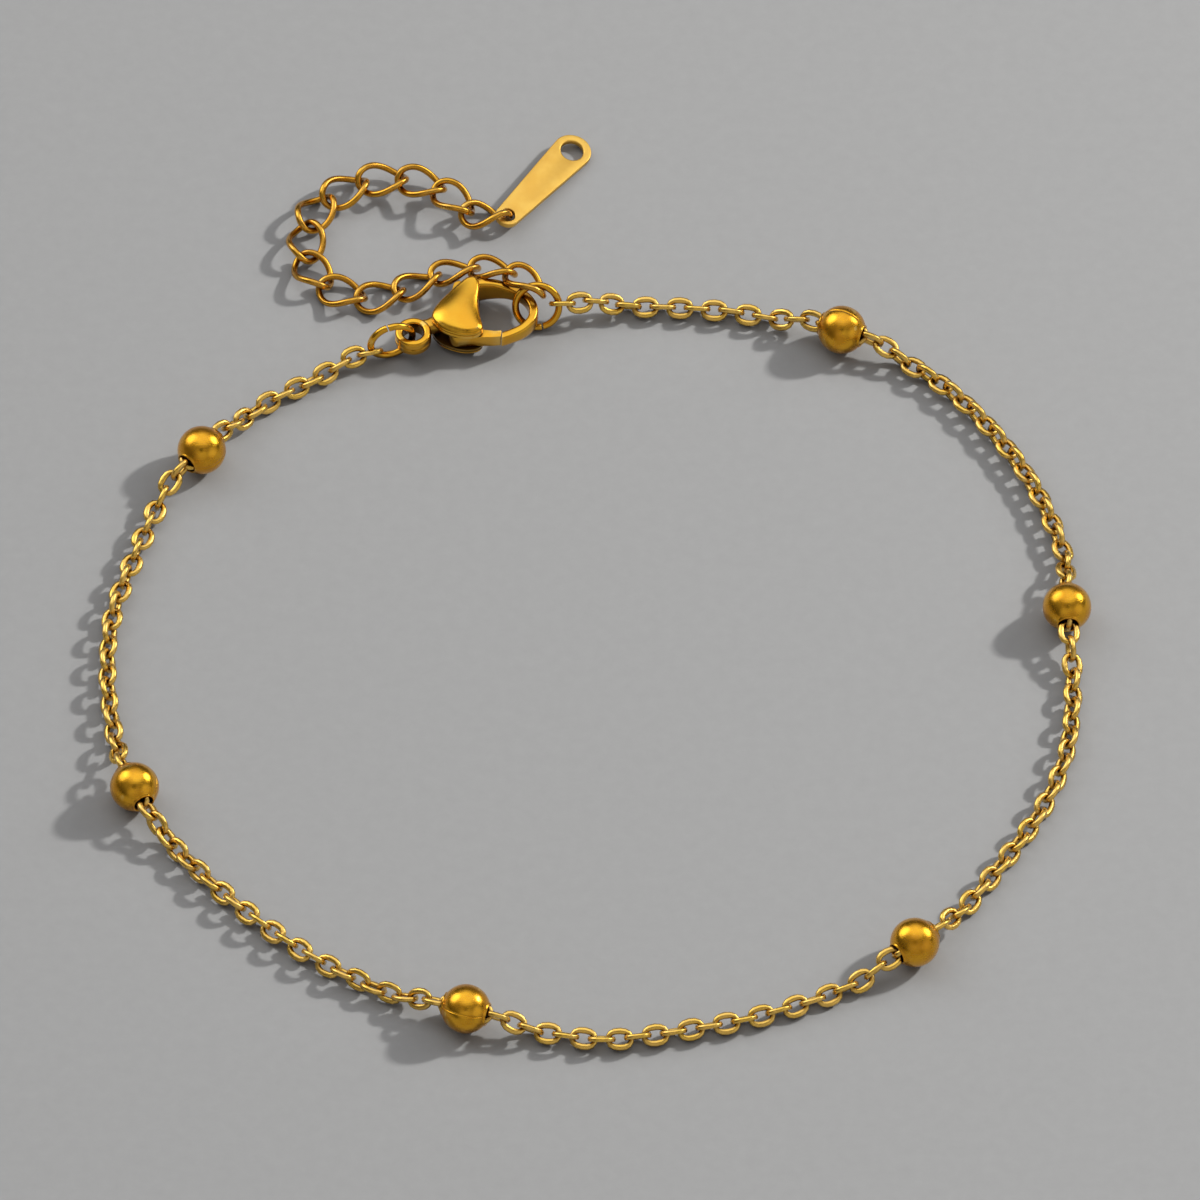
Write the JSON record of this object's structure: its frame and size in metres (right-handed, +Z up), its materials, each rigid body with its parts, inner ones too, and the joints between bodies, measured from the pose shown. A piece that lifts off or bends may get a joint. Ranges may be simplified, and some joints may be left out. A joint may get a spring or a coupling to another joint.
{
  "type": "charm anklet",
  "caption": "Fine cable-link anklet with spaced polished hollow round beads, a lobster clasp on jump rings, and a curb-link extender that ends in a tapered flat tag.",
  "frame": {"origin": "middle of the anklet's footprint, on the surface it lies on", "axes": "+Z up from the surface; +Y from the loop's middle towards the clasp and the extender's tag; +X to the right of them"},
  "size_m": [0.0813, 0.0938, 0.0042],
  "materials": {
    "gold_chain": "polished yellow gold plate, small links with flattened faces",
    "gold_bead": "high polish yellow gold plate with a fine seam",
    "gold_clasp": "polished yellow gold plate",
    "gold_tag": "satin-bright yellow gold plate"
  },
  "bodies": {
    "anklet": {"chain_1": "gold_chain", "chain_2": "gold_chain", "chain_3": "gold_chain", "chain_4": "gold_chain", "chain_5": "gold_chain", "chain_6": "gold_chain", "chain_7": "gold_chain", "extender_01": "gold_chain", "extender_02": "gold_chain", "extender_03": "gold_chain", "extender_04": "gold_chain", "extender_05": "gold_chain", "extender_06": "gold_chain", "extender_07": "gold_chain", "extender_08": "gold_chain", "extender_09": "gold_chain", "extender_10": "gold_chain", "extender_11": "gold_chain", "extender_12": "gold_chain", "extender_13": "gold_chain", "extender_14": "gold_chain", "bead_1": "gold_bead", "bead_2": "gold_bead", "bead_3": "gold_bead", "bead_4": "gold_bead", "bead_5": "gold_bead", "bead_6": "gold_bead", "clasp_body": "gold_clasp", "clasp_ring": "gold_clasp", "end_ring": "gold_clasp", "tag": "gold_tag"},
    "lever": {"clasp_lever": "gold_clasp"}
  },
  "joints": [
    {"name": "lever_hinge", "type": "hinge", "parent": "anklet", "child": "lever", "pos_m": [-0.01128, 0.02509, 0.0018], "axis": [0, 0, 1], "range_deg": [0, 24], "stiffness_Nm_per_rad": 0.004}
  ]
}
